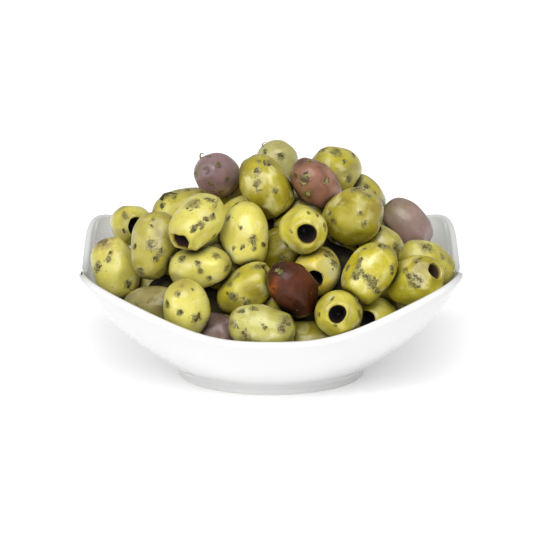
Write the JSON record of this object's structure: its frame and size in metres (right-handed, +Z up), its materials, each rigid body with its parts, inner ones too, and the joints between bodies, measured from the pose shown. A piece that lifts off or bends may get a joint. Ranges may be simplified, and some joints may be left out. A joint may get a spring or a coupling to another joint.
{
  "type": "bowl of olives",
  "caption": "Square white porcelain bowl with raised rounded corners and a low round foot, heaped high with pitted mixed olives in herbs.",
  "frame": {"origin": "under the middle of the bowl's foot, on the surface that it stands on", "axes": "+Z up, the shown front faces -Y, +X to the right seen from the front"},
  "size_m": [0.1562, 0.1562, 0.0951],
  "materials": {
    "porcelain": "smooth white glaze",
    "olive": "moist olive skin with a soft broad sheen, flecked with herbs"
  },
  "bodies": {
    "root": {"bowl": "porcelain", "olives": "olive"}
  },
  "joints": []
}
